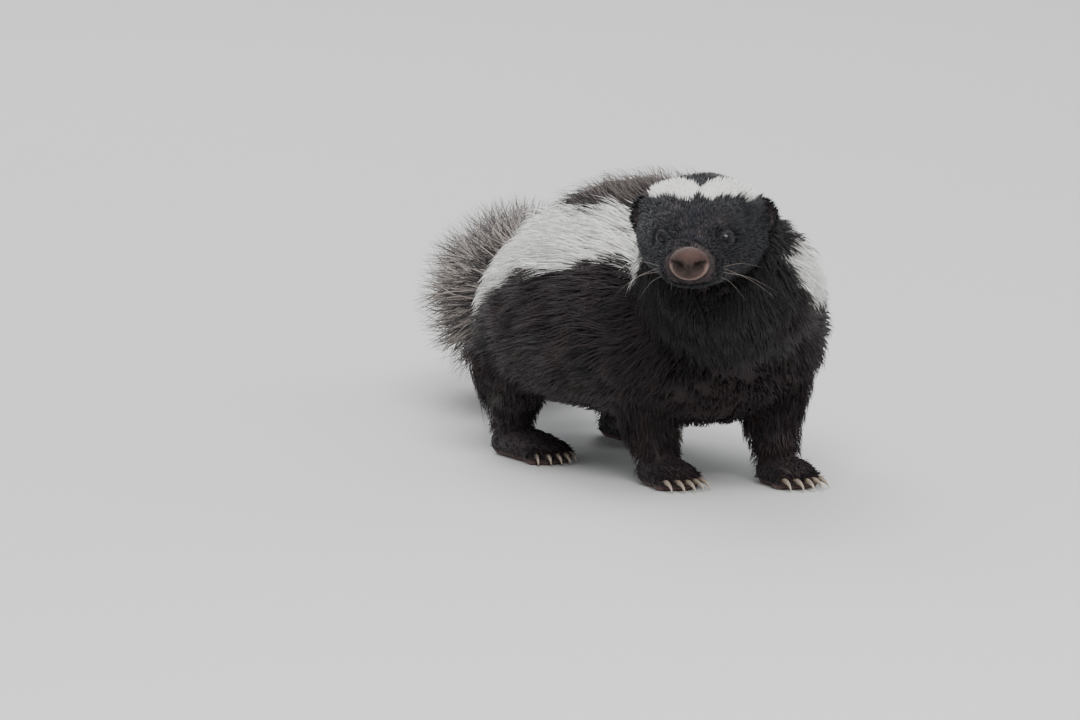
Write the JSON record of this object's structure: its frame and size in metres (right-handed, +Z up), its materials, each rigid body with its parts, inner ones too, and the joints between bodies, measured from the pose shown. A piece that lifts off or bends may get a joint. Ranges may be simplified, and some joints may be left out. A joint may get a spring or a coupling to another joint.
{
  "type": "striped skunk",
  "caption": "Life-size still model of a striped skunk standing on four feet, head turned to its right, bushy tail trailing low behind.",
  "frame": {"origin": "middle of the object's footprint, on the floor under the belly", "axes": "+Z up; the body runs along Y with the chest towards -Y and the tail towards +Y; -X is the animal's right"},
  "size_m": [0.2092, 0.5006, 0.1653],
  "materials": {
    "coat": "long glossy guard hair, black-brown with two white stripes",
    "tail_coat": "long loose hair, black with pale bases and tips",
    "face_fur": "short dense black fur with a white crown",
    "leg_fur": "short dense black fur, bare soles",
    "nose_skin": "moist pebbled skin",
    "eye": "wet and glossy",
    "claw": "horn, slightly worn"
  },
  "bodies": {
    "root": {"ear_left": "face_fur", "ear_right": "face_fur", "eye_left": "eye", "eye_right": "eye", "foreleg_left": "leg_fur", "foreleg_right": "leg_fur", "head": "face_fur", "hindleg_left": "leg_fur", "hindleg_right": "leg_fur", "neck": "coat", "nose": "nose_skin", "tail": "tail_coat", "torso": "coat"}
  },
  "joints": []
}
